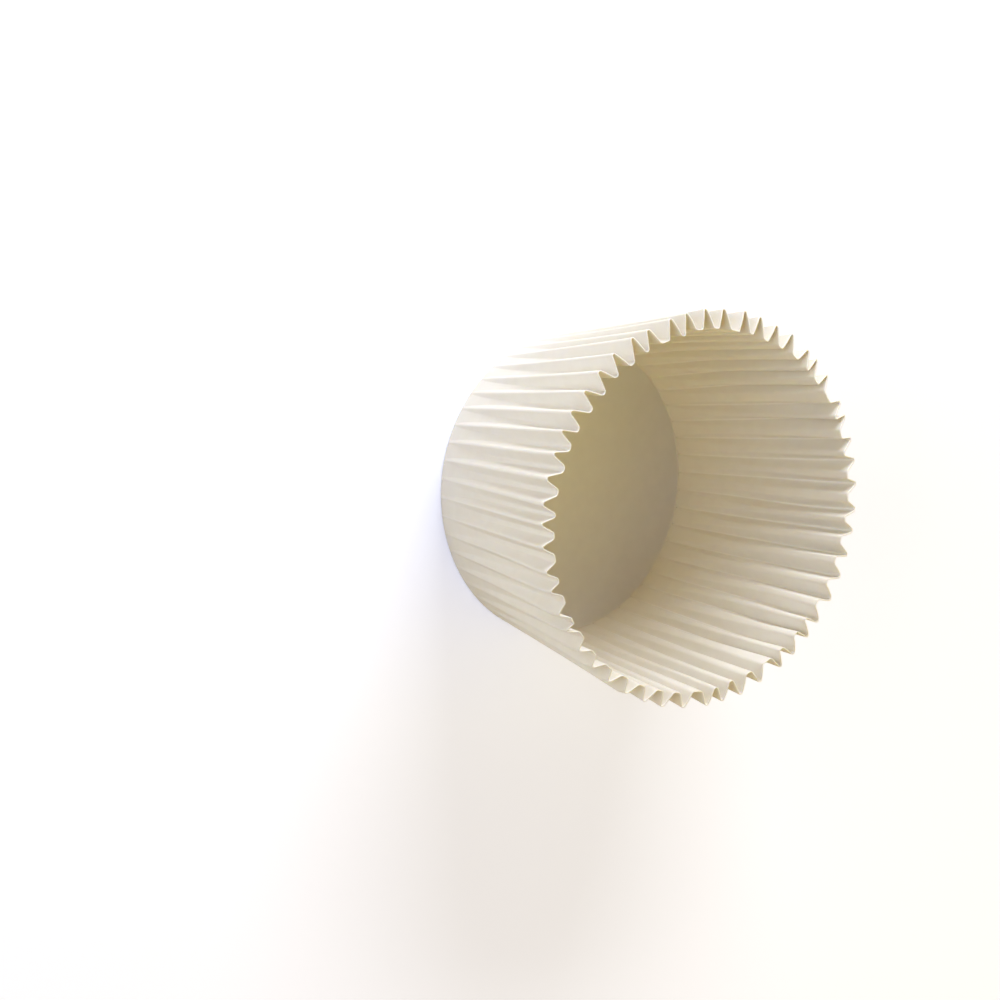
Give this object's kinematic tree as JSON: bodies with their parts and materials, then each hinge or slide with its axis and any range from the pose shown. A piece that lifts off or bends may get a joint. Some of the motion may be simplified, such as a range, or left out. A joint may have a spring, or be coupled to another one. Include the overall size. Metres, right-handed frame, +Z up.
{
  "type": "cupcake liner",
  "caption": "White fluted paper baking cup with a flat round base and a flaring pleated wall, open at the top.",
  "frame": {"origin": "centre of the underside of the base", "axes": "+Z up along the axis of the cup, out of the mouth; an outer ridge of the wall lies on +X"},
  "size_m": [0.0652, 0.0652, 0.0377],
  "materials": {
    "white_paper": "matte, fine fibre, slightly translucent greaseproof paper"
  },
  "bodies": {
    "root": {"liner": "white_paper"}
  },
  "joints": []
}
